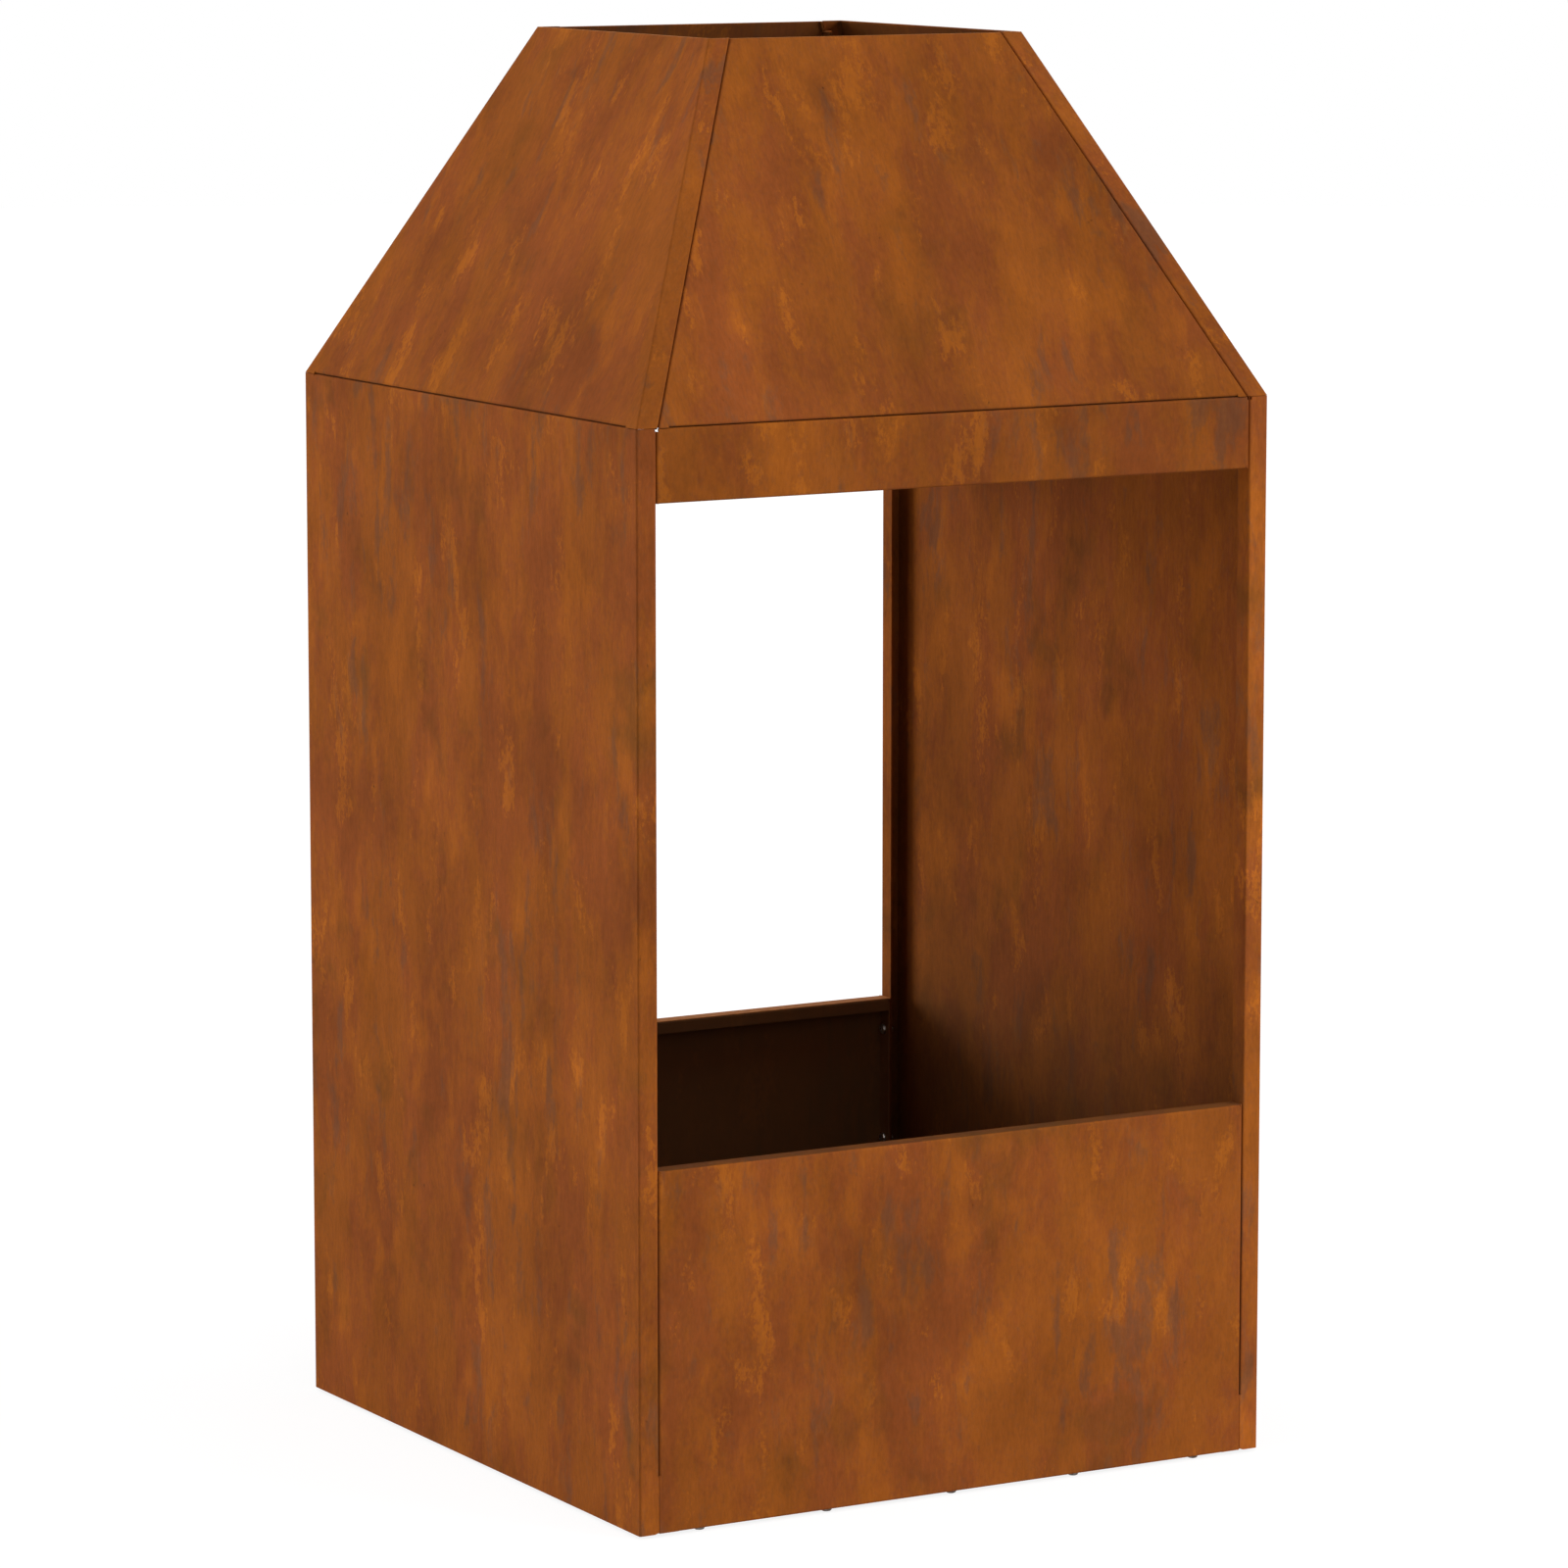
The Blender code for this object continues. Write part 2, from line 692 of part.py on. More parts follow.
class Joint:
    """One screw: the surface its head bears on, and the two panels it holds together."""

    def __init__(self, name, fold, width, place, turn, near, far, gap, head_inside):
        surface = fold.beyond(width / 2, place)
        axis = fold.inward_after
        if head_inside:
            surface = surface + fold.inward_after * SHEET
            axis = -fold.inward_after
        frame = Matrix((axis.cross(fold.along) * -1.0, fold.along, axis)).transposed().to_4x4()
        turned = Matrix.Rotation(turn, 4, "Z")
        self.name = name
        self.near = near
        self.far = far
        self.placing = turned @ Matrix.Translation(surface) @ frame
        self.nut_seat = 2 * SHEET + gap

    def add_screw(self, mesh):
        screw = bpy.data.objects.new(self.name, mesh)
        screw.matrix_world = self.placing @ Matrix.Translation((0.0, 0.0, -CONTACT))
        bpy.context.collection.objects.link(screw)

    def drill(self, shape):
        """Hole with clearance all round, through the sheets and the nut."""
        radius = (SCREW_RADIUS + CONTACT) / math.cos(math.pi / DRILL_SIDES)
        end = self.nut_seat + NUT_HEIGHT + DRILL_OVERRUN
        prism(shape, self.placing, radius, DRILL_SIDES, -DRILL_OVERRUN, end)

    def nut(self, shape):
        """Hexagon nut, its lower face pressed half way into the far sheet."""
        low = self.nut_seat - SHEET / 2
        prism(shape, self.placing, NUT_WIDTH / math.sqrt(3), HEX_SIDES, low, self.nut_seat + NUT_HEIGHT)


def tool_object(name, shape):
    """A guide body that only shapes its panel."""
    mesh = bpy.data.meshes.new(name)
    shape.to_mesh(mesh)
    shape.free()
    tool = bpy.data.objects.new(name, mesh)
    tool.hide_render = True
    tool.display_type = "WIRE"
    bpy.context.collection.objects.link(tool)
    return tool


def fit_screws(panels, joints):
    """Press the nuts into the panels and drill every hole."""
    for name, (panel, _) in panels.items():
        nuts = bmesh.new()
        holes = bmesh.new()
        for joint in joints:
            if joint.far == name:
                joint.nut(nuts)
            if name in (joint.near, joint.far):
                joint.drill(holes)
        if nuts.verts:
            press = panel.modifiers.new("pressed nuts", "BOOLEAN")
            press.operation = "UNION"
            press.object = tool_object("nuts_of_" + name, nuts)
        drill = panel.modifiers.new("screw holes", "BOOLEAN")
        drill.operation = "DIFFERENCE"
        drill.object = tool_object("holes_of_" + name, holes)


def spread(low, high, count):
    """Evenly spaced places from one end to the other."""
    return [low + (high - low) * i / (count - 1) for i in range(count)]


def base_joints(panels):
    """Screws up through the bottom flanges of the two lower panels into the tray."""
    rows = (
        ("front", "lower_front_panel", FRONT),
        ("back", "lower_back_panel", BACK),
    )
    end = infill_width() / 2 - BASE_SCREW_MARGIN
    joints = []
    for side, near, turn in rows:
        fold = panels[near][1]["bottom"]
        for number, x in enumerate(spread(-end, end, BASE_SCREWS), start=1):
            name = f"base_screw_{side}_{number}"
            place = across(x)
            joints.append(
                Joint(name, fold, FLANGE, place, turn, near, "fire_bed_tray", CONTACT, False))
    return joints


def post_neighbours(side):
    """The side panel whose post stands at each end of a panel, as seen from outside."""
    if side == "front":
        return (("left", "left"), ("right", "right"))
    return (("left", "right"), ("right", "left"))


def opening_joints(panels):
    """Screws through the side flanges of the lower panels and the lintels into the posts."""
    lower_places = spread(
        TRAY_TOP + TRAY_SCREW_MARGIN, BASE + LOWER_PANEL_HEIGHT - SIDE_SCREW_MARGIN, LOWER_PANEL_SCREWS)
    joints = []
    for side, turn in (("front", FRONT), ("back", BACK)):
        lower, beam = f"lower_{side}_panel", f"{side}_lintel"
        for edge, hand in post_neighbours(side):
            far = f"{hand}_side_panel"
            fold = panels[lower][1][edge]
            for number, height in enumerate(lower_places, start=1):
                name = f"lower_panel_screw_{side}_{hand}_{number}"
                place = level(height)
                joints.append(Joint(name, fold, RETURN, place, turn, lower, far, SEAM, True))
            fold = panels[beam][1][edge]
            place = level(SHOULDER - LINTEL_HEIGHT / 2)
            name = f"lintel_screw_{side}_{hand}"
            joints.append(Joint(name, fold, RETURN, place, turn, beam, far, SEAM, True))
    return joints


def hood_corner_joints(panels):
    """Screws along the four hood corners."""
    joints = []
    for side, turn in (("front", FRONT), ("back", BACK)):
        near = f"hood_{side}_panel"
        for edge, hand in post_neighbours(side):
            far = f"hood_{hand}_panel"
            for number, share in enumerate(HOOD_CORNER_SCREW_SHARES, start=1):
                place = level(HOOD_BASE + (RIM - HOOD_BASE) * share)
                name = f"hood_corner_screw_{side}_{hand}_{number}"
                fold = panels[near][1][edge]
                joints.append(Joint(name, fold, RETURN, place, turn, near, far, SEAM, True))
    return joints


def shoulder_joints(panels):
    """Screws up through the top flanges of the body into the hood."""
    rows = (
        ("front", "front_lintel", FRONT, BODY_WIDTH),
        ("back", "back_lintel", BACK, BODY_WIDTH),
        ("left", "left_side_panel", LEFT, BODY_DEPTH),
        ("right", "right_side_panel", RIGHT, BODY_DEPTH),
    )
    joints = []
    for side, near, turn, width in rows:
        fold = panels[near][1]["top"]
        for number, share in enumerate(SHOULDER_SCREW_SHARES, start=1):
            name = f"shoulder_screw_{side}_{number}"
            place = across(width * share)
            far = f"hood_{side}_panel"
            joints.append(Joint(name, fold, FLANGE, place, turn, near, far, CONTACT, True))
    return joints


def main():
    for item in list(bpy.data.objects):
        bpy.data.objects.remove(item, do_unlink=True)

    weathered = steel("weathered_steel", (0.252, 0.078, 0.020), 0.85, 0.0)
    burnt = steel("fire_bed_steel", (0.095, 0.040, 0.018), 0.9, 0.0)
    plated = steel("plated_steel", (0.62, 0.61, 0.58), 0.35, 1.0)

    panels = {
        "left_side_panel": side_panel("left_side_panel", LEFT, weathered),
        "right_side_panel": side_panel("right_side_panel", RIGHT, weathered),
        "lower_front_panel": lower_panel("lower_front_panel", FRONT, weathered),
        "lower_back_panel": lower_panel("lower_back_panel", BACK, weathered),
        "front_lintel": lintel("front_lintel", FRONT, weathered),
        "back_lintel": lintel("back_lintel", BACK, weathered),
        "hood_left_panel": hood_side_panel("hood_left_panel", LEFT, weathered),
        "hood_right_panel": hood_side_panel("hood_right_panel", RIGHT, weathered),
        "hood_front_panel": hood_end_panel("hood_front_panel", FRONT, weathered),
        "hood_back_panel": hood_end_panel("hood_back_panel", BACK, weathered),
        "fire_bed_tray": tray("fire_bed_tray", burnt),
    }

    joints = base_joints(panels) + opening_joints(panels)
    joints += hood_corner_joints(panels) + shoulder_joints(panels)
    mesh = screw_mesh()
    mesh.materials.append(plated)
    for joint in joints:
        joint.add_screw(mesh)
    fit_screws(panels, joints)


main()
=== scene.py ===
import math

import bpy
from mathutils import Matrix, Vector
from mathutils.bvhtree import BVHTree


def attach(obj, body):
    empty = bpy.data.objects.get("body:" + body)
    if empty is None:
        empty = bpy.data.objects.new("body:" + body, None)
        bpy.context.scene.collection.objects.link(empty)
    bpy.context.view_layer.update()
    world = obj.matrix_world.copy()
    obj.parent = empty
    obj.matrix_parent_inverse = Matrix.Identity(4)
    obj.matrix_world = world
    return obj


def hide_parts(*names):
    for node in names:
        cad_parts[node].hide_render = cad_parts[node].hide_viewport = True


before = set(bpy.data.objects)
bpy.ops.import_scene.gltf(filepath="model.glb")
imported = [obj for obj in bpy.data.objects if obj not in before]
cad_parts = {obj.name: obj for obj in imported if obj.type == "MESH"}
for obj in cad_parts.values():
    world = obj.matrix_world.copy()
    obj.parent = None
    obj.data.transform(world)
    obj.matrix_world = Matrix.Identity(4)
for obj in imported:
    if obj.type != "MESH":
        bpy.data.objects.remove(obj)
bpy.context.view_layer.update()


# Side panels
# Each is one sheet of weathering steel, 1.5 mm thick. Its front and back ends
# are folded into the corner posts of the body, and each post has a return
# behind it. The nuts pressed into the returns and the top flange are zinc plated.

FRONT, RIGHT, BACK, LEFT = 0.0, math.radians(-90), math.radians(180), math.radians(90)
BODY_LOW, BODY_HIGH = 0.0025, 0.7525
BODY_HALF = 0.250
MERGE_DISTANCE, FLAT_WITHIN = 0.00001, math.radians(0.6)

# The cut edges' softening, and the share of it that a softened corner may lie off the sheet
EDGE_SOFTENING, SOFTENED_SHARE = 0.0001, 0.4
CUT_EDGE_ANGLE, SMOOTH_ANGLE = math.radians(50), math.radians(40)

# How far behind a panel's outer face its inner side begins, in metres. Its folded posts and ears are
# behind that face too, but they lie on the panel's outline, where the border mask is 1
INNER_FROM, INNER_TO = 0.0006, 0.0010
ON_OUTLINE, OFF_OUTLINE = 0.9999, 0.995

# Soot begins at the first height on an inner face and is full at the second. Low in the chamber and on the
# front flange the darkening is painted shade as well as soot
SIDE_SOOT_AND_SHADE = (0.420, 0.100)
SMOKED_ALL_OVER = (2.0, 1.0)

# A sheet's finishes: its own patina comes first, then these. The edge finish is wear and a painted highlight
NUT_FINISH, EDGE_WEAR_AND_HIGHLIGHT_FINISH = 1, 2

# The patina's colours, from the sound brown rust to the marks in it, the ash, which on inner faces also tints
# painted shade, and the worn edges, which are lighter also as a painted highlight
RUST_BROWN = (0.285, 0.0800, 0.0125, 1.0)
RUST_RED = (0.245, 0.0640, 0.0150, 1.0)
RUST_ORANGE = (0.355, 0.0990, 0.0120, 1.0)
RUST_CRUST = (0.420, 0.1200, 0.0130, 1.0)
RUST_GREY = (0.150, 0.0620, 0.0300, 1.0)
RUST_OLIVE = (0.125, 0.0480, 0.0100, 1.0)
RUST_PIT = (0.060, 0.0240, 0.0090, 1.0)
ASH_DUST_AND_SHADE_TINT = (0.190, 0.1300, 0.0620, 1.0)
EDGE_RUST_HIGHLIGHT = (0.400, 0.1350, 0.0280, 1.0)
EDGE_BRIGHT_HIGHLIGHT = (0.520, 0.2000, 0.0560, 1.0)


def folded_sheet(node):
    """Merged copy of a panel's sheet, its cut edges softened as deburring leaves them.

    At the ends of the narrow slots the softening throws a few corners off the sheet. They are put back.
    """
    sheet = bpy.data.objects.new(node + "_sheet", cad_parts[node].data.copy())
    bpy.context.collection.objects.link(sheet)
    sheet.data.materials.clear()
    bpy.ops.object.select_all(action="DESELECT")
    sheet.select_set(True)
    bpy.context.view_layer.objects.active = sheet
    bpy.ops.object.mode_set(mode="EDIT")
    bpy.ops.mesh.select_all(action="SELECT")
    bpy.ops.mesh.remove_doubles(threshold=MERGE_DISTANCE)
    bpy.ops.mesh.dissolve_limited(angle_limit=FLAT_WITHIN)
    bpy.ops.object.mode_set(mode="OBJECT")
    corners = [vertex.co.copy() for vertex in sheet.data.vertices]
    plain = BVHTree.FromPolygons(corners, [tuple(face.vertices) for face in sheet.data.polygons])
    deburred = sheet.modifiers.new("deburred", "BEVEL")
    deburred.width = EDGE_SOFTENING
    deburred.segments = 2
    deburred.use_clamp_overlap = False
    deburred.limit_method = "ANGLE"
    deburred.angle_limit = CUT_EDGE_ANGLE
    bpy.ops.object.modifier_apply(modifier="deburred")
    for vertex in sheet.data.vertices:
        on_sheet, _, _, gap = plain.find_nearest(vertex.co)
        if gap > EDGE_SOFTENING * SOFTENED_SHARE:
            vertex.co = on_sheet
    bpy.ops.object.shade_smooth_by_angle(angle=SMOOTH_ANGLE)
    even = sheet.modifiers.new("even", "WEIGHTED_NORMAL")
    even.keep_sharp = True
    even.weight = 90
    bpy.ops.object.modifier_apply(modifier="even")
    return sheet


def finish_node(tree, kind, inputs, **settings):
    """One node of a finish, with its settings, and its sockets set or linked."""
    made = tree.nodes.new(kind)
    for name, value in settings.items():
        setattr(made, name, value)
    for socket, value in inputs.items():
        if isinstance(value, bpy.types.NodeSocket):
            tree.links.new(value, made.inputs[socket])
        else:
            made.inputs[socket].default_value = value
    return made


def finish_group(name, inputs, outputs):
    """An empty node group with its named sockets."""
    group = bpy.data.node_groups.new(name, "ShaderNodeTree")
    for socket, kind, value in inputs:
        made = group.interface.new_socket(name=socket, in_out="INPUT", socket_type=kind)
        if value is not None:
            made.default_value = value
    for socket, kind in outputs:
        group.interface.new_socket(name=socket, in_out="OUTPUT", socket_type=kind)
    return group, group.nodes.new("NodeGroupInput").outputs, group.nodes.new("NodeGroupOutput").inputs


def stretched_noise(tree, vector, size, detail, roughness=0.5):
    """Noise whose grains measure about size, in metres along each axis."""
    scaled = finish_node(tree, "ShaderNodeMapping", {
        "Vector": vector, "Scale": tuple(1.0 / length for length in size)})
    noise = finish_node(tree, "ShaderNodeTexNoise", {
        "Vector": scaled.outputs[0], "Scale": 1.0, "Detail": detail, "Roughness": roughness})
    return noise.outputs["Fac"]


def rust_mask(tree, value, low, high):
    """The part of a noise between two of its levels, as a mask from 0 to 1."""
    ranged = finish_node(tree, "ShaderNodeMapRange", {
        "Value": value, "From Min": low, "From Max": high}, interpolation_type="SMOOTHSTEP")
    return ranged.outputs["Result"]


def rust_sum(tree, operation, first, second):
    """One sum on two masks or levels, by the name of its operation."""
    return finish_node(tree, "ShaderNodeMath", {0: first, 1: second}, operation=operation).outputs[0]


def rust_layer(tree, amount, under, over):
    """One colour of rust over another."""
    mixed = finish_node(tree, "ShaderNodeMix", {
        "Factor": amount, 6: under, 7: over}, data_type="RGBA")
    return mixed.outputs[2]


def make_rust_bloom():
    """The patina: brown rust with orange bloom, crusts, grey run marks, olive smudges, streaks and pits.

    Each noise is given by its grains' size, how many finer layers it has and how strong those are.
    """
    group, given, result = finish_group(
        "rust_bloom",
        (
            ("Vector", "NodeSocketVector", None),
            ("Border", "NodeSocketFloat", 0.0),
            ("Tone and Painted Light", "NodeSocketFloat", 1.0),
            ("Orange", "NodeSocketFloat", 0.7),
            ("Greyness", "NodeSocketFloat", 0.6),
            ("Smudges", "NodeSocketFloat", 0.5),
            ("Streaks", "NodeSocketFloat", 0.08),
        ),
        (
            ("Color", "NodeSocketColor"),
            ("Roughness", "NodeSocketFloat"),
            ("Height", "NodeSocketFloat"),
        ),
    )
    still = given["Vector"]
    drift = finish_node(group, "ShaderNodeMapping", {"Vector": still, "Scale": (28.0, 28.0, 17.0)}).outputs[0]
    drift = finish_node(
        group, "ShaderNodeTexNoise", {"Vector": drift, "Scale": 1.0, "Detail": 4.0}).outputs["Color"]
    drift = finish_node(
        group, "ShaderNodeVectorMath", {0: drift, 1: (0.5, 0.5, 0.5)}, operation="SUBTRACT").outputs[0]
    drift = finish_node(
        group, "ShaderNodeVectorMath", {0: drift, 1: (0.022, 0.022, 0.022)}, operation="MULTIPLY").outputs[0]
    at = finish_node(group, "ShaderNodeVectorMath", {0: still, 1: drift}, operation="ADD").outputs[0]
    broad = stretched_noise(group, at, (0.085, 0.085, 0.120), 4.0, 0.55)
    sound = stretched_noise(group, at, (0.045, 0.045, 0.120), 7.0, 0.65)
    bloom = stretched_noise(group, at, (0.036, 0.036, 0.085), 7.0, 0.60)
    crust = stretched_noise(group, at, (0.027, 0.027, 0.070), 5.0, 0.55)
    fringe = stretched_noise(group, still, (0.0030, 0.0030, 0.0048), 4.0, 0.75)
    runs = stretched_noise(group, at, (0.016, 0.016, 0.070), 5.0, 0.60)
    where = stretched_noise(group, at, (0.110, 0.110, 0.180), 3.0, 0.5)
    cloud = stretched_noise(group, at, (0.055, 0.055, 0.062), 3.0, 0.55)
    strands = stretched_noise(group, at, (0.0040, 0.0040, 0.0300), 6.0, 0.70)
    grain = stretched_noise(group, still, (0.0018, 0.0018, 0.0060), 3.0, 0.70)
    mottle = stretched_noise(group, still, (0.0032, 0.0032, 0.0044), 3.0, 0.75)
    pits = stretched_noise(group, still, (0.0060, 0.0060, 0.0070), 2.0, 0.6)

    ragged = rust_sum(group, "MULTIPLY", rust_sum(group, "SUBTRACT", fringe, 0.5), 0.35)
    browned = rust_mask(group, rust_sum(group, "ADD", sound, ragged), 0.40, 0.58)
    colour = rust_layer(group, browned, RUST_RED, RUST_BROWN)
    frayed = rust_sum(group, "ADD", bloom, rust_sum(group, "MULTIPLY", given["Border"], 0.02))
    orange = rust_sum(group, "MULTIPLY", rust_mask(group, frayed, 0.50, 0.68), given["Orange"])
    colour = rust_layer(group, orange, colour, RUST_ORANGE)
    dotted = rust_sum(group, "ADD", crust, rust_sum(group, "MULTIPLY", ragged, 1.3))
    crusted = rust_sum(group, "MULTIPLY", rust_mask(group, dotted, 0.60, 0.68), given["Orange"])
    colour = rust_layer(group, rust_sum(group, "MULTIPLY", crusted, 0.9), colour, RUST_CRUST)
    marks = rust_sum(group, "ADD", runs, rust_sum(group, "MULTIPLY", where, 0.60))
    marks = rust_sum(group, "ADD", marks, rust_sum(group, "MULTIPLY", ragged, 0.8))
    grey = rust_sum(group, "MULTIPLY", rust_mask(group, marks, 0.87, 1.02), given["Greyness"])
    colour = rust_layer(group, grey, colour, RUST_GREY)
    smudge = rust_sum(group, "MULTIPLY", rust_mask(group, cloud, 0.54, 0.78), given["Smudges"])
    colour = rust_layer(group, smudge, colour, RUST_OLIVE)
    dusted = rust_sum(group, "MULTIPLY", rust_mask(group, mottle, 0.48, 0.70), 0.22)
    colour = rust_layer(group, dusted, colour, RUST_GREY)
    pitted = rust_sum(
        group, "MULTIPLY", rust_mask(group, pits, 0.70, 0.80), rust_mask(group, cloud, 0.44, 0.60))
    colour = rust_layer(group, rust_sum(group, "MULTIPLY", pitted, 0.60), colour, RUST_PIT)
    streaked = finish_node(group, "ShaderNodeMapRange", {
        "Value": grain, "From Min": 0.25, "From Max": 0.75, "To Min": 0.88, "To Max": 1.12}).outputs[0]
    brushed = finish_node(group, "ShaderNodeMapRange", {
        "Value": strands, "From Min": 0.30, "From Max": 0.70, "To Min": -1.0, "To Max": 1.0}).outputs[0]
    brushed = rust_sum(group, "ADD", rust_sum(group, "MULTIPLY", brushed, given["Streaks"]), 1.0)
    shaded = finish_node(group, "ShaderNodeMapRange", {
        "Value": broad, "From Min": 0.30, "From Max": 0.70, "To Min": 0.80, "To Max": 1.20}).outputs[0]
    strength = rust_sum(group, "MULTIPLY", rust_sum(group, "MULTIPLY", streaked, brushed), shaded)
    toned_with_painted_light = finish_node(group, "ShaderNodeMix", {
        "Factor": 1.0, 6: colour, 7: rust_sum(group, "MULTIPLY", strength, given["Tone and Painted Light"])},
        data_type="RGBA", blend_type="MULTIPLY")

    coarse = rust_sum(
        group, "ADD", rust_sum(group, "MULTIPLY", grain, 0.5), rust_sum(group, "MULTIPLY", mottle, 0.6))
    rough = finish_node(group, "ShaderNodeMapRange", {
        "Value": coarse, "From Min": 0.25, "From Max": 0.85, "To Min": 0.76, "To Max": 0.96})
    raised = rust_sum(group, "ADD", coarse, rust_sum(group, "MULTIPLY", orange, 0.5))
    height = rust_sum(group, "SUBTRACT", raised, rust_sum(group, "MULTIPLY", pitted, 0.6))
    group.links.new(toned_with_painted_light.outputs[2], result["Color"])
    group.links.new(rough.outputs[0], result["Roughness"])
    group.links.new(height, result["Height"])
    return group


def make_panel_border():
    """How near a point is to its panel's outline: 1 on it, 0 from the given width inwards."""
    group, given, result = finish_group(
        "panel_border",
        (
            ("Vector", "NodeSocketVector", None),
            ("Low", "NodeSocketFloat", 0.0),
            ("High", "NodeSocketFloat", 1.0),
            ("Half Low", "NodeSocketFloat", 1.0),
            ("Half High", "NodeSocketFloat", 1.0),
            ("Width", "NodeSocketFloat", 0.020),
        ),
        (("Border", "NodeSocketFloat"),),
    )
    place = finish_node(group, "ShaderNodeSeparateXYZ", {0: given["Vector"]}).outputs
    half = finish_node(group, "ShaderNodeMapRange", {
        "Value": place["Z"], "From Min": given["Low"], "From Max": given["High"],
        "To Min": given["Half Low"], "To Max": given["Half High"]}).outputs[0]
    beside = rust_sum(group, "SUBTRACT", half, rust_sum(group, "ABSOLUTE", place["X"], 0.0))
    above = rust_sum(group, "SUBTRACT", place["Z"], given["Low"])
    below = rust_sum(group, "SUBTRACT", given["High"], place["Z"])
    nearest = rust_sum(group, "MINIMUM", beside, rust_sum(group, "MINIMUM", above, below))
    border = finish_node(group, "ShaderNodeMapRange", {
        "Value": nearest, "From Min": given["Width"], "From Max": 0.0}, interpolation_type="SMOOTHSTEP")
    group.links.new(border.outputs["Result"], result["Border"])
    return group


rust_bloom = make_rust_bloom()
panel_border = make_panel_border()


def weathered_steel(
        name, turn, lean, outline, start, tone_and_painted_light, smudges, streaks,
        face=BODY_HALF, smoked_and_shaded=SMOKED_ALL_OVER, soot_and_shade=0.0, ash=0.0):
    """Weathering steel for one panel: turn and lean bring it upright and facing the front.

    The tone is given at the panel's left and right ends, and on some panels it is painted light and shade;
    face is how far out its outer face stands.
    Start moves the patina, so that no two panels share it. Soot and ash lie on the inner faces alone, and
    there they also paint shade.
    """
    material = bpy.data.materials.new(name)
    material.use_nodes = True
    tree = material.node_tree
    shader = tree.nodes["Principled BSDF"]
    upright = Matrix.Rotation(lean, 3, "X") @ Matrix.Rotation(turn, 3, "Z")
    place = finish_node(tree, "ShaderNodeTexCoord", {}).outputs["Object"]
    on_panel = finish_node(tree, "ShaderNodeMapping", {
        "Vector": place, "Rotation": upright.to_euler("XYZ")}).outputs[0]
    low, high, half_low, half_high = outline
    border = finish_node(tree, "ShaderNodeGroup", {}, node_tree=panel_border)
    tree.links.new(on_panel, border.inputs["Vector"])
    for socket, value in (("Low", low), ("High", high), ("Half Low", half_low), ("Half High", half_high)):
        border.inputs[socket].default_value = value
    shifted = finish_node(tree, "ShaderNodeMapping", {"Vector": on_panel, "Location": start}).outputs[0]
    rust = finish_node(tree, "ShaderNodeGroup", {}, node_tree=rust_bloom)
    tree.links.new(shifted, rust.inputs["Vector"])
    tree.links.new(border.outputs["Border"], rust.inputs["Border"])
    at = finish_node(tree, "ShaderNodeSeparateXYZ", {0: on_panel}).outputs
    # The tone ramp across the panel, which on some panels is painted light and shade
    toned_with_painted_light = finish_node(tree, "ShaderNodeMapRange", {
        "Value": at["X"], "From Min": -BODY_HALF, "From Max": BODY_HALF,
        "To Min": tone_and_painted_light[0], "To Max": tone_and_painted_light[1]})
    behind = rust_mask(tree, rust_sum(tree, "ABSOLUTE", at["Y"], 0.0), face - INNER_FROM, face - INNER_TO)
    within = rust_mask(tree, border.outputs["Border"], ON_OUTLINE, OFF_OUTLINE)
    inside = rust_sum(tree, "MULTIPLY", behind, within)
    # Soot darkens the inner faces below the given heights; on the side panels' lower part and the front
    # flange it is also painted shade
    sooty_and_shaded = rust_sum(tree, "MULTIPLY", inside, rust_mask(tree, at["Z"], smoked_and_shaded[0], smoked_and_shaded[1]))
    free_of_soot_and_shade = rust_sum(tree, "SUBTRACT", 1.0, rust_sum(tree, "MULTIPLY", sooty_and_shaded, soot_and_shade))
    tree.links.new(rust_sum(tree, "MULTIPLY", toned_with_painted_light.outputs[0], free_of_soot_and_shade), rust.inputs["Tone and Painted Light"])
    rust.inputs["Smudges"].default_value = smudges
    rust.inputs["Streaks"].default_value = streaks
    bump = finish_node(tree, "ShaderNodeBump", {
        "Strength": 0.35, "Distance": 0.00025, "Height": rust.outputs["Height"]})
    # Ash greys the same inner faces; on the back lower panel it also tints the painted shade
    colour = rust_layer(tree, rust_sum(tree, "MULTIPLY", sooty_and_shaded, ash), rust.outputs["Color"], ASH_DUST_AND_SHADE_TINT)
    tree.links.new(colour, shader.inputs["Base Color"])
    tree.links.new(rust.outputs["Roughness"], shader.inputs["Roughness"])
    tree.links.new(bump.outputs["Normal"], shader.inputs["Normal"])
    shader.inputs["Specular IOR Level"].default_value = 0.03
    return material


def worn_edge_and_highlight_steel():
    """Cut and handled edges, where the rust is rubbed thin, lighter and a little burnished, and lighter still
    as a painted highlight where light catches them.
    """
    material = bpy.data.materials.new("worn_edge_and_highlight")
    material.use_nodes = True
    tree = material.node_tree
    shader = tree.nodes["Principled BSDF"]
    place = finish_node(tree, "ShaderNodeTexCoord", {}).outputs["Object"]
    rubbed = stretched_noise(tree, place, (0.006, 0.006, 0.006), 4.0, 0.65)
    colour = rust_layer(tree, rust_mask(tree, rubbed, 0.35, 0.65), EDGE_RUST_HIGHLIGHT, EDGE_BRIGHT_HIGHLIGHT)
    rough = finish_node(tree, "ShaderNodeMapRange", {"Value": rubbed, "To Min": 0.60, "To Max": 0.80})
    bump = finish_node(tree, "ShaderNodeBump", {"Strength": 0.2, "Distance": 0.0001, "Height": rubbed})
    tree.links.new(colour, shader.inputs["Base Color"])
    tree.links.new(rough.outputs[0], shader.inputs["Roughness"])
    tree.links.new(bump.outputs["Normal"], shader.inputs["Normal"])
    shader.inputs["Specular IOR Level"].default_value = 0.12
    return material


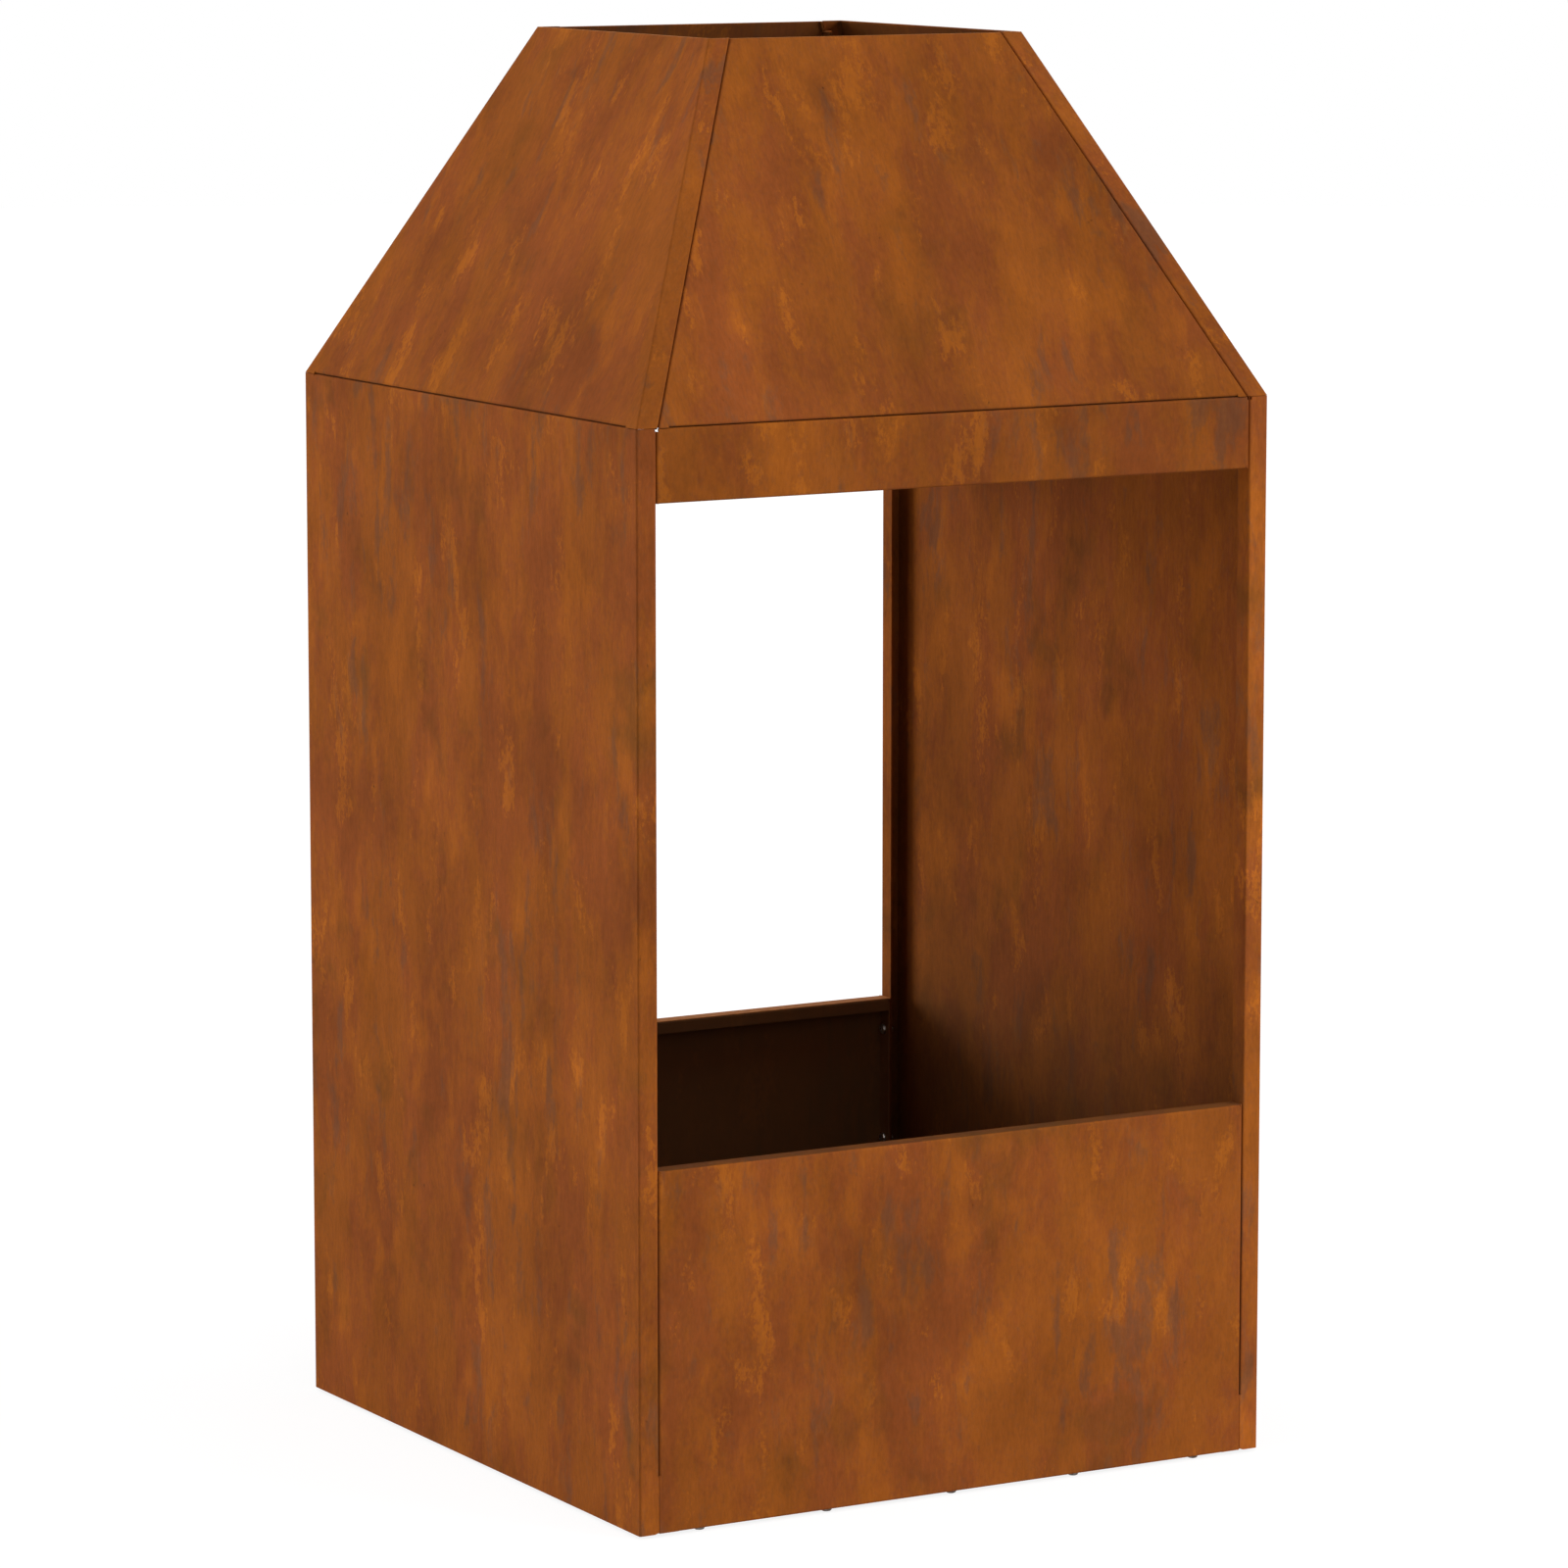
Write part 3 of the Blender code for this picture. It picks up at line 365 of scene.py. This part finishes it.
LEVEL_ENOUGH = 0.4


def wear_and_highlight_level_edges(sheet, lowest):
    """Give the level faces at and above a height, with the edge's own softening, the worn finish, which is
    also a painted highlight on them.
    """
    for face in sheet.data.polygons:
        if face.normal.z > LEVEL_ENOUGH and face.center.z > lowest:
            face.material_index = EDGE_WEAR_AND_HIGHLIGHT_FINISH


PLATED_GREY = (0.53, 0.52, 0.49, 1.0)
DULLED_GREY = (0.34, 0.32, 0.29, 1.0)
RUST_STAIN = (0.16, 0.062, 0.022, 1.0)


def plated_steel(name, creep, grey, dulled_grey):
    """Zinc plate, dulled by the weather, with more or less rust that has crept onto it."""
    material = bpy.data.materials.new(name)
    material.use_nodes = True
    tree = material.node_tree
    shader = tree.nodes["Principled BSDF"]
    place = finish_node(tree, "ShaderNodeTexCoord", {}).outputs["Object"]
    dulled = rust_mask(tree, stretched_noise(tree, place, (0.0021, 0.0021, 0.0021), 3.0, 0.6), 0.38, 0.64)
    blotches = stretched_noise(tree, place, (0.0034, 0.0034, 0.0034), 3.0, 0.65)
    stained = rust_mask(tree, blotches, 0.57 - creep, 0.70 - creep)
    scratches = stretched_noise(tree, place, (0.00012, 0.00012, 0.0009), 2.0, 0.5)
    colour = rust_layer(tree, dulled, grey, dulled_grey)
    colour = rust_layer(tree, rust_sum(tree, "MULTIPLY", stained, 0.75), colour, RUST_STAIN)
    rough = finish_node(tree, "ShaderNodeMapRange", {
        "Value": rust_sum(tree, "ADD", dulled, stained), "From Max": 2.0, "To Min": 0.26, "To Max": 0.78})
    bare = finish_node(tree, "ShaderNodeMapRange", {"Value": stained, "To Min": 1.0, "To Max": 0.25})
    bump = finish_node(tree, "ShaderNodeBump", {"Strength": 0.25, "Distance": 0.00003, "Height": scratches})
    tree.links.new(colour, shader.inputs["Base Color"])
    tree.links.new(rough.outputs[0], shader.inputs["Roughness"])
    tree.links.new(bare.outputs[0], shader.inputs["Metallic"])
    tree.links.new(bump.outputs["Normal"], shader.inputs["Normal"])
    return material


worn_edge_and_highlight = worn_edge_and_highlight_steel()
zinc_plate = plated_steel("zinc_plate", 0.0, PLATED_GREY, DULLED_GREY)


def dress_panel(node, material):
    """The panel's own sheet in its finish, standing for the plain one."""
    sheet = folded_sheet(node)
    sheet.data.materials.append(material)
    sheet.data.materials.append(zinc_plate)
    sheet.data.materials.append(worn_edge_and_highlight)
    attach(sheet, "root")
    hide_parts(node)
    return sheet


body_outline = (BODY_LOW, BODY_HIGH, BODY_HALF, BODY_HALF)
sheets = {}
# The right panel's tone, 1.30 at its front end, is painted light on its front post and the front of its inner
# wall. On both panels the darkening low on the inner faces is painted shade as well as soot.
for node, turn, start, tone_and_painted_light in (
    ("left_side_panel", LEFT, (0.0, 0.0, 0.0), (1.0, 1.0)),
    ("right_side_panel", RIGHT, (3.1, 1.7, 0.6), (1.30, 0.98)),
):
    finish = weathered_steel(
        node + "_rust", turn, 0.0, body_outline, start, tone_and_painted_light, smudges=0.55, streaks=0.11,
        smoked_and_shaded=SIDE_SOOT_AND_SHADE, soot_and_shade=0.60, ash=0.15)
    sheets[node] = dress_panel(node, finish)


# Lower panels
# A folded panel between the posts closes the body below the opening, at the
# front and at the back. Its top edge is folded in and its lip turned down, so
# that no cut edge meets the hand that lays the wood.

INFILL_HALF = 0.2347
LOWER_TOP = 0.2525

# The patina's outline passes this far above the top flange, so that the flange isn't part of it
FLANGE_MARGIN = 0.002

# The front panel's flange top is darkened as its inner faces are, with soot and painted shade under the
# lintel. The back one's gets the worn edge finish instead, wear and painted light from behind
FRONT_SOOT_AND_SHADE = (0.2530, 0.2526)
BACK_ASH_AND_SHADE = (0.2525, 0.2515)
FLANGE_BAND = 0.0004

# The front panel's tone rises to its right end as painted light. The back panel's ash on its inner face also
# tints it as painted shade
for node, turn, start, tone_and_painted_light, smoked_and_shaded, soot_and_shade, ash in (
    ("lower_front_panel", FRONT, (5.3, 2.2, 1.1), (0.98, 1.12), FRONT_SOOT_AND_SHADE, 0.42, 0.15),
    ("lower_back_panel", BACK, (7.9, 0.4, 2.3), (1.0, 1.0), BACK_ASH_AND_SHADE, 0.0, 0.72),
):
    outline = (BODY_LOW, LOWER_TOP + FLANGE_MARGIN, INFILL_HALF, INFILL_HALF)
    finish = weathered_steel(
        node + "_rust", turn, 0.0, outline, start, tone_and_painted_light, smudges=0.45, streaks=0.06,
        smoked_and_shaded=smoked_and_shaded, soot_and_shade=soot_and_shade, ash=ash)
    sheets[node] = dress_panel(node, finish)
# The back flange's top takes the lighter edge finish: painted light from behind as well as wear
wear_and_highlight_level_edges(sheets["lower_back_panel"], LOWER_TOP - FLANGE_BAND)


# Lintels
# A narrow beam between the posts carries the hood above each opening. It is
# folded on all four edges and screwed to the posts through its ends.

LINTEL_LOW = 0.7025

for node, turn, start, tone_and_painted_light in (
    ("front_lintel", FRONT, (1.4, 6.2, 3.3), (0.94, 0.94)),
    ("back_lintel", BACK, (2.6, 8.1, 4.9), (1.0, 1.0)),
):
    outline = (LINTEL_LOW, BODY_HIGH, INFILL_HALF, INFILL_HALF)
    finish = weathered_steel(node + "_rust", turn, 0.0, outline, start, tone_and_painted_light, smudges=0.35, streaks=0.06)
    sheets[node] = dress_panel(node, finish)


# Hood
# Four leaning panels narrow the body to its square mouth. The left and right
# ones carry the corner flanges, and the front and back ones stand between them.
# The rain runs down the slope, so the marks on the sheet do too.

HOOD_BASE, RIM = 0.7528, 1.0025
MOUTH_HALF = 0.125
HOOD_LEAN = math.atan2(BODY_HALF - MOUTH_HALF, RIM - HOOD_BASE)
HOOD_FACE = BODY_HALF * math.cos(HOOD_LEAN) + HOOD_BASE * math.sin(HOOD_LEAN)
CORNER_FLANGE = 0.0165
RIM_BAND = 0.0006


def up_the_slope(height):
    """Place along the hood's slope, once it is turned upright, of a point at a height."""
    out = BODY_HALF - (height - HOOD_BASE) * math.tan(HOOD_LEAN)
    return height * math.cos(HOOD_LEAN) - out * math.sin(HOOD_LEAN)


# The hood panels' tones differ per face, and the front one falls to its right end: painted light and shade
for node, turn, inset, start, tone_and_painted_light in (
    ("hood_left_panel", LEFT, 0.0, (4.4, 3.6, 5.2), (0.97, 0.97)),
    ("hood_right_panel", RIGHT, 0.0, (6.7, 5.1, 0.9), (1.03, 1.03)),
    ("hood_front_panel", FRONT, CORNER_FLANGE, (8.2, 7.3, 2.8), (1.08, 0.83)),
    ("hood_back_panel", BACK, CORNER_FLANGE, (9.5, 1.9, 6.4), (1.03, 1.03)),
):
    outline = (up_the_slope(HOOD_BASE), up_the_slope(RIM), BODY_HALF - inset, MOUTH_HALF - inset)
    finish = weathered_steel(
        node + "_rust", turn, HOOD_LEAN, outline, start, tone_and_painted_light, smudges=0.30, streaks=0.07,
        face=HOOD_FACE, soot_and_shade=0.40, ash=0.10)
    sheets[node] = dress_panel(node, finish)
    # The rim's level cut edges take the edge finish: a painted highlight as well as wear
    wear_and_highlight_level_edges(sheets[node], RIM - RIM_BAND)


# Fire bed
# The floor of the hearth is a square tray turned over, of the same steel. The
# fire has burnt its patina dark and left grey ash in the middle.

ASH_GREY = (0.300, 0.280, 0.250, 1.0)
HEARTH_EDGE, HEARTH_MIDDLE = 0.270, 0.120

burnt_steel = bpy.data.materials.new("fire_bed_soot")
burnt_steel.use_nodes = True
tree = burnt_steel.node_tree
shader = tree.nodes["Principled BSDF"]
place = finish_node(tree, "ShaderNodeTexCoord", {}).outputs["Object"]
rust = finish_node(tree, "ShaderNodeGroup", {}, node_tree=rust_bloom)
laid_flat = finish_node(tree, "ShaderNodeMapping", {
    "Vector": place, "Rotation": (math.radians(90), 0.0, 0.0), "Location": (2.0, 4.0, 9.0)})
tree.links.new(laid_flat.outputs[0], rust.inputs["Vector"])
rust.inputs["Tone and Painted Light"].default_value = 0.38
rust.inputs["Smudges"].default_value = 0.8
ash = rust_mask(tree, stretched_noise(tree, place, (0.030, 0.030, 0.030), 5.0, 0.65), 0.42, 0.60)
reach = finish_node(tree, "ShaderNodeVectorMath", {0: place}, operation="LENGTH").outputs["Value"]
hearth = rust_mask(tree, reach, HEARTH_EDGE, HEARTH_MIDDLE)
ash_amount = rust_sum(tree, "MULTIPLY", rust_sum(tree, "MULTIPLY", ash, hearth), 0.80)
colour = rust_layer(tree, ash_amount, rust.outputs["Color"], ASH_GREY)
crust = rust_sum(tree, "ADD", rust.outputs["Height"], ash_amount)
bump = finish_node(tree, "ShaderNodeBump", {"Strength": 0.4, "Distance": 0.0004, "Height": crust})
tree.links.new(colour, shader.inputs["Base Color"])
tree.links.new(rust.outputs["Roughness"], shader.inputs["Roughness"])
tree.links.new(bump.outputs["Normal"], shader.inputs["Normal"])
shader.inputs["Specular IOR Level"].default_value = 0.2
sheets["fire_bed_tray"] = dress_panel("fire_bed_tray", burnt_steel)


# Screws and nuts
# M4 button head screws with a hexagon socket, zinc plated, 8 mm under the head.
# They turn in nuts pressed into the folds, so the fireplace can be taken down.

SCREW_RADIUS, SCREW_LENGTH, THREAD_PITCH = 0.0020, 0.008, 0.0007
THREAD_ROOT = 0.83
HEAD_RADIUS, HEAD_HEIGHT = 0.0038, 0.0022
SOCKET_WIDTH, SOCKET_DEPTH = 0.0025, 0.0013
NUT_REACH, NUT_NEAR, NUT_FAR = 0.0043, 0.0036, 0.0072
HEAD_CROWN_SHARE, THREAD_TIP_SHARE = 0.80, 0.9
KNOCKED_EDGE = 0.00012
# The base screws' plate: darker grey, near black where dulled
BASE_SCREW_GREY = (0.16, 0.15, 0.14, 1.0)
SCREW_BLACK = (0.07, 0.06, 0.05, 1.0)


def choose(mesh_object, kind, wanted):
    """Select in edit mode the faces or edges that pass a test, and nothing else."""
    bpy.ops.object.mode_set(mode="EDIT")
    bpy.ops.mesh.select_all(action="DESELECT")
    bpy.ops.mesh.select_mode(type=kind)
    bpy.ops.object.mode_set(mode="OBJECT")
    mesh = mesh_object.data
    parts = mesh.polygons if kind == "FACE" else mesh.edges
    for part in parts:
        part.select = wanted([mesh.vertices[i].co for i in part.vertices])
    bpy.ops.object.mode_set(mode="EDIT")


def model_screw():
    """The screw stands on its seat at z = 0, its thread up and its domed head down."""
    bpy.ops.object.select_all(action="DESELECT")
    bpy.ops.mesh.primitive_cylinder_add(
        vertices=24, radius=HEAD_RADIUS, depth=HEAD_HEIGHT, location=(0.0, 0.0, -HEAD_HEIGHT / 2))
    screw = bpy.context.object
    bpy.ops.object.transform_apply(location=True, rotation=True, scale=True)

    choose(screw, "EDGE", lambda ends: all(end.z < -HEAD_HEIGHT * 0.9 for end in ends))
    bpy.ops.mesh.bevel(offset=HEAD_HEIGHT * HEAD_CROWN_SHARE, segments=5, profile=0.55, affect="EDGES")
    bpy.ops.object.mode_set(mode="OBJECT")

    choose(screw, "FACE", lambda corners: all(corner.z > -HEAD_HEIGHT * 0.01 for corner in corners))
    bpy.ops.mesh.inset(thickness=HEAD_RADIUS - SCREW_RADIUS * THREAD_ROOT)
    bpy.ops.mesh.extrude_region_move(TRANSFORM_OT_translate={"value": (0.0, 0.0, THREAD_PITCH / 2)})
    turns = int((SCREW_LENGTH - THREAD_PITCH) / THREAD_PITCH)
    for _ in range(turns):
        for scale in (1.0 / THREAD_ROOT, THREAD_ROOT):
            bpy.ops.mesh.extrude_region_move(
                TRANSFORM_OT_translate={"value": (0.0, 0.0, THREAD_PITCH / 2)})
            bpy.ops.transform.resize(value=(scale, scale, 1.0))
    rest = SCREW_LENGTH - THREAD_PITCH * (turns + 0.5)
    bpy.ops.mesh.extrude_region_move(TRANSFORM_OT_translate={"value": (0.0, 0.0, rest)})
    bpy.ops.transform.resize(value=(THREAD_TIP_SHARE, THREAD_TIP_SHARE, 1.0))
    bpy.ops.object.mode_set(mode="OBJECT")

    bpy.ops.object.select_all(action="DESELECT")
    bpy.ops.mesh.primitive_cylinder_add(
        vertices=6, radius=SOCKET_WIDTH / math.sqrt(3), depth=2 * SOCKET_DEPTH,
        location=(0.0, 0.0, -HEAD_HEIGHT))
    key = bpy.context.object
    bpy.ops.object.transform_apply(location=True, rotation=True, scale=True)
    screw.select_set(True)
    bpy.context.view_layer.objects.active = screw
    socket = screw.modifiers.new("socket", "BOOLEAN")
    socket.operation = "DIFFERENCE"
    socket.object = key
    bpy.ops.object.modifier_apply(modifier="socket")
    bpy.data.objects.remove(key, do_unlink=True)
    rounded = screw.modifiers.new("rounded", "BEVEL")
    rounded.width = KNOCKED_EDGE
    rounded.segments = 2
    rounded.limit_method = "ANGLE"
    rounded.angle_limit = math.radians(60)
    bpy.ops.object.select_all(action="DESELECT")
    screw.select_set(True)
    bpy.ops.object.modifier_apply(modifier="rounded")
    bpy.ops.object.shade_smooth_by_angle(angle=math.radians(45))
    return screw


def screw_place(node):
    """Where a screw sits and points: its tip is the round of corners farthest from its middle."""
    corners = {tuple(round(value, 6) for value in vertex.co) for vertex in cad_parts[node].data.vertices}
    corners = [Vector(corner) for corner in corners]
    middle = sum(corners, Vector()) / len(corners)
    tip_round = sorted(corners, key=lambda corner: (corner - middle).length)[-12:]
    tip = sum(tip_round, Vector()) / len(tip_round)
    axis = (tip - middle).normalized()
    return tip - axis * SCREW_LENGTH, axis


def plate_nut(sheet, seat, axis):
    """Give the nut pressed into a sheet behind a screw its zinc plate."""
    for face in sheet.data.polygons:
        along = (face.center - seat).dot(axis)
        beside = (face.center - seat - axis * along).length
        if beside < NUT_REACH and NUT_NEAR < along < NUT_FAR:
            face.material_index = NUT_FINISH


# The base screws get a much darker plate than the others, with more stain crept onto it
rusty_plate = plated_steel("rusty_plate", 0.10, BASE_SCREW_GREY, SCREW_BLACK)
pattern = model_screw()
screw_nodes = sorted(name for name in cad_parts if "_screw_" in name)
for node in screw_nodes:
    seat, axis = screw_place(node)
    screw = bpy.data.objects.new(node + "_plated", pattern.data.copy())
    bpy.context.collection.objects.link(screw)
    screw.data.transform(Matrix.Translation(seat) @ axis.to_track_quat("Z", "Y").to_matrix().to_4x4())
    screw.data.materials.append(rusty_plate if node.startswith("base_") else zinc_plate)
    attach(screw, "root")
    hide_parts(node)
    for sheet in sheets.values():
        plate_nut(sheet, seat, axis)
bpy.data.objects.remove(pattern, do_unlink=True)


# Floor and light
# A plain white studio: a pale floor that keeps the shadow, broad lamps overhead, on
# the left and behind, a low one behind on the left and one on the right of the front.

FLOOR_RADIUS = 14.0
FLOOR_LIT, FLOOR_SHOWN = (0.74, 0.74, 0.74, 1.0), (0.22, 0.22, 0.22, 1.0)
FLOOR_GLOW, SKY_LEVEL = 0.86, 0.16
WHITE = (1.0, 1.0, 1.0, 1.0)


def shown_rays(tree):
    """1 where the camera, or what gloss or glass shows it, sees the background, and 0 for its light."""
    seen = finish_node(tree, "ShaderNodeLightPath", {})
    mirrored = rust_sum(tree, "MAXIMUM", seen.outputs["Is Glossy Ray"], seen.outputs["Is Transmission Ray"])
    return rust_sum(tree, "MAXIMUM", seen.outputs["Is Camera Ray"], mirrored)


bpy.ops.object.select_all(action="DESELECT")
bpy.ops.mesh.primitive_circle_add(
    vertices=96, radius=FLOOR_RADIUS, fill_type="NGON", location=(0.0, 0.0, 0.0))
floor = bpy.context.object
floor.name = "studio_floor"
floor_paint = bpy.data.materials.new("floor_paint")
floor_paint.use_nodes = True
tree = floor_paint.node_tree
shader = tree.nodes["Principled BSDF"]
shader.inputs["Roughness"].default_value = 0.9
shader.inputs["Specular IOR Level"].default_value = 0.0
shown = shown_rays(tree)
shader.inputs["Emission Color"].default_value = WHITE
tree.links.new(rust_layer(tree, shown, FLOOR_LIT, FLOOR_SHOWN), shader.inputs["Base Color"])
tree.links.new(rust_sum(tree, "MULTIPLY", shown, FLOOR_GLOW), shader.inputs["Emission Strength"])
floor.data.materials.append(floor_paint)

studio = bpy.data.worlds.new("studio")
bpy.context.scene.world = studio
studio.use_nodes = True
tree = studio.node_tree
background = tree.nodes["Background"]
background.inputs["Color"].default_value = WHITE
level = finish_node(tree, "ShaderNodeMapRange", {"Value": shown_rays(tree), "To Min": SKY_LEVEL})
tree.links.new(level.outputs[0], background.inputs["Strength"])

for name, level, width, towards in (
    ("high_lamp", 0.75, 37.0, (0.05, -0.25, 0.96)),
    ("back_lamp", 0.70, 37.0, (-0.25, 0.66, 0.70)),
    ("left_lamp", 0.42, 37.0, (-0.75, 0.00, 0.66)),
    ("low_back_lamp", 1.90, 30.0, (-0.70, 0.70, 0.10)),
    ("right_lamp", 2.15, 37.0, (0.66, -0.66, 0.36)),
):
    lamp = bpy.data.lights.new(name, "SUN")
    lamp.energy = level
    lamp.angle = math.radians(width)
    lamp_object = bpy.data.objects.new(name, lamp)
    lamp_object.rotation_euler = Vector(towards).to_track_quat("Z", "Y").to_euler()
    bpy.context.collection.objects.link(lamp_object)


# Camera
# It stands a little above the rim and looks at the front and the left side, down by 8.5
# degrees. Its lens has no shift, so that the other views keep the whole fireplace.

camera = bpy.data.cameras.new("camera")
camera.lens = 156.357
camera.sensor_width = 36.0
camera.clip_end = 100.0
camera_object = bpy.data.objects.new("camera", camera)
camera_object.location = (-2.3909, -4.1787, 1.1817)
camera_object.rotation_euler = (math.radians(90) - 0.1476, 0.0, -0.5207)
bpy.context.collection.objects.link(camera_object)
bpy.context.scene.camera = camera_object
bpy.context.scene.view_settings.view_transform = "Standard"
